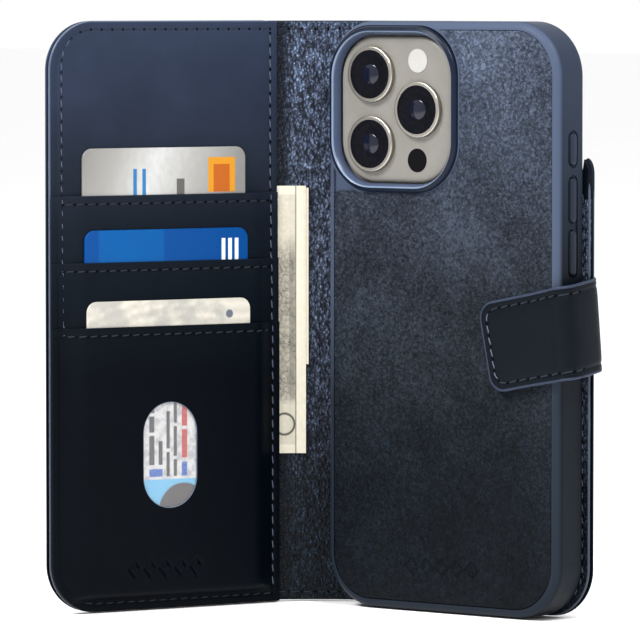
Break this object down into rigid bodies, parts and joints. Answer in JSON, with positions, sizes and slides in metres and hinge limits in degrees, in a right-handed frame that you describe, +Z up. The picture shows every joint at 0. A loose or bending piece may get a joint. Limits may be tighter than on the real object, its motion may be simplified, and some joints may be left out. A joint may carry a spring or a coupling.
{
  "type": "phone wallet case",
  "caption": "Folio wallet case standing open: front cover with card pockets, an ID window and a cash pocket, folding spine, back cover with a strap, and a lift-out phone tray.",
  "frame": {"origin": "centre of the bounding box's base, on the surface the open folio stands on", "axes": "+Z up along the covers' height, +X along the back cover from the spine to the strap, -Y out of the back cover towards the user"},
  "size_m": [0.133, 0.0884, 0.169],
  "materials": {
    "smooth_leather": "smooth navy leather, light satin sheen",
    "grained_leather": "fine pebbled navy leather",
    "thread": "blue-grey sewing thread",
    "board": "dense fibre board",
    "steel": "thin plated steel",
    "tpu": "matte blue elastomer",
    "rim": "satin blue with a brighter edge",
    "key": "matte blue",
    "titanium": "bead-blasted natural titanium",
    "back_glass": "satin frosted glass",
    "screen": "dark glass",
    "lens": "black lens glass",
    "flash": "milky diffuser",
    "film": "clear film",
    "window_rim": "light lacquered edge",
    "card_silver": "silver card",
    "card_blue": "blue card",
    "card_id": "white card",
    "paper": "printed note paper"
  },
  "bodies": {
    "back_cover": {"back_outer_leather": "smooth_leather", "back_outer_thread": "thread", "back_board": "board", "back_steel_plate": "steel", "strap_root_tab": "smooth_leather", "back_lining": "grained_leather", "back_lining_thread": "thread"},
    "spine": {"spine_outer_leather": "smooth_leather", "spine_board": "board", "spine_lining": "grained_leather", "spine_thread": "thread"},
    "front_cover": {"front_outer_leather": "smooth_leather", "front_outer_thread": "thread", "front_board": "board", "front_closure_magnets": "steel", "front_lining": "grained_leather", "cash_pocket_edge_strip": "smooth_leather", "cash_pocket_panel": "smooth_leather", "banknote": "paper", "card_pocket_upper": "smooth_leather", "card_pocket_middle": "smooth_leather", "card_pocket_lower": "smooth_leather", "card_pocket_upper_thread": "thread", "card_pocket_middle_thread": "thread", "card_pocket_lower_thread": "thread", "front_perimeter_thread": "thread", "id_window_film": "film", "id_window_rim": "window_rim"},
    "card_1": {"card_silver": "card_silver"},
    "card_2": {"card_blue": "card_blue"},
    "card_3": {"card_identity": "card_id"},
    "strap_side": {"strap_side_band": "smooth_leather"},
    "strap_flap": {"strap_flap_lining": "grained_leather", "strap_magnet": "steel", "strap_flap_leather": "smooth_leather", "strap_thread": "thread"},
    "tray": {"bumper_frame": "tpu", "leather_inlay": "grained_leather", "camera_rim": "rim", "tray_magnet_ring": "steel", "tray_alignment_magnet": "steel", "phone_frame": "titanium", "phone_display": "screen", "phone_back_glass": "back_glass", "phone_camera_plateau": "back_glass", "lens_ring_1": "titanium", "lens_ring_2": "titanium", "lens_ring_3": "titanium", "lens_glass_1": "lens", "lens_glass_2": "lens", "lens_glass_3": "lens", "phone_flash": "flash", "phone_depth_sensor": "lens"},
    "action_key": {"action_button": "key"},
    "volume_up_key": {"volume_up_button": "key"},
    "volume_down_key": {"volume_down_button": "key"},
    "side_key": {"side_button": "key"}
  },
  "joints": [
    {"name": "spine_fold", "type": "hinge", "parent": "back_cover", "child": "spine", "pos_m": [-0.0231, 0.0432, 0.0845], "axis": [0, 0, 1], "range_deg": [-128.5, 51.5]},
    {"name": "front_fold", "type": "hinge", "parent": "spine", "child": "front_cover", "pos_m": [-0.03875, 0.03075, 0.0845], "axis": [0, 0, 1], "range_deg": [-121.5, 51]},
    {"name": "strap_root_fold", "type": "hinge", "parent": "back_cover", "child": "strap_side", "pos_m": [0.0657, 0.0428, 0.0845], "axis": [0, 0, 1], "range_deg": [0, 100]},
    {"name": "strap_front_fold", "type": "hinge", "parent": "strap_side", "child": "strap_flap", "pos_m": [0.0657, 0.0274, 0.0845], "axis": [0, 0, 1], "range_deg": [0, 95]},
    {"name": "tray_lift", "type": "slide", "parent": "back_cover", "child": "tray", "axis": [0, 0, 1], "range_m": [0, 0.175]},
    {"name": "card_1_slide", "type": "slide", "parent": "front_cover", "child": "card_1", "axis": [0, 0, 1], "range_m": [0, 0.08]},
    {"name": "card_2_slide", "type": "slide", "parent": "front_cover", "child": "card_2", "axis": [0, 0, 1], "range_m": [0, 0.085]},
    {"name": "card_3_slide", "type": "slide", "parent": "front_cover", "child": "card_3", "axis": [0, 0, 1], "range_m": [0, 0.085]},
    {"name": "action_press", "type": "slide", "parent": "tray", "child": "action_key", "axis": [-1, 0, 0], "range_m": [0, 0.0003], "stiffness_N_per_m": 800},
    {"name": "volume_up_press", "type": "slide", "parent": "tray", "child": "volume_up_key", "axis": [-1, 0, 0], "range_m": [0, 0.0003], "stiffness_N_per_m": 800},
    {"name": "volume_down_press", "type": "slide", "parent": "tray", "child": "volume_down_key", "axis": [-1, 0, 0], "range_m": [0, 0.0003], "stiffness_N_per_m": 800},
    {"name": "side_press", "type": "slide", "parent": "tray", "child": "side_key", "axis": [1, 0, 0], "range_m": [0, 0.0003], "stiffness_N_per_m": 800}
  ]
}
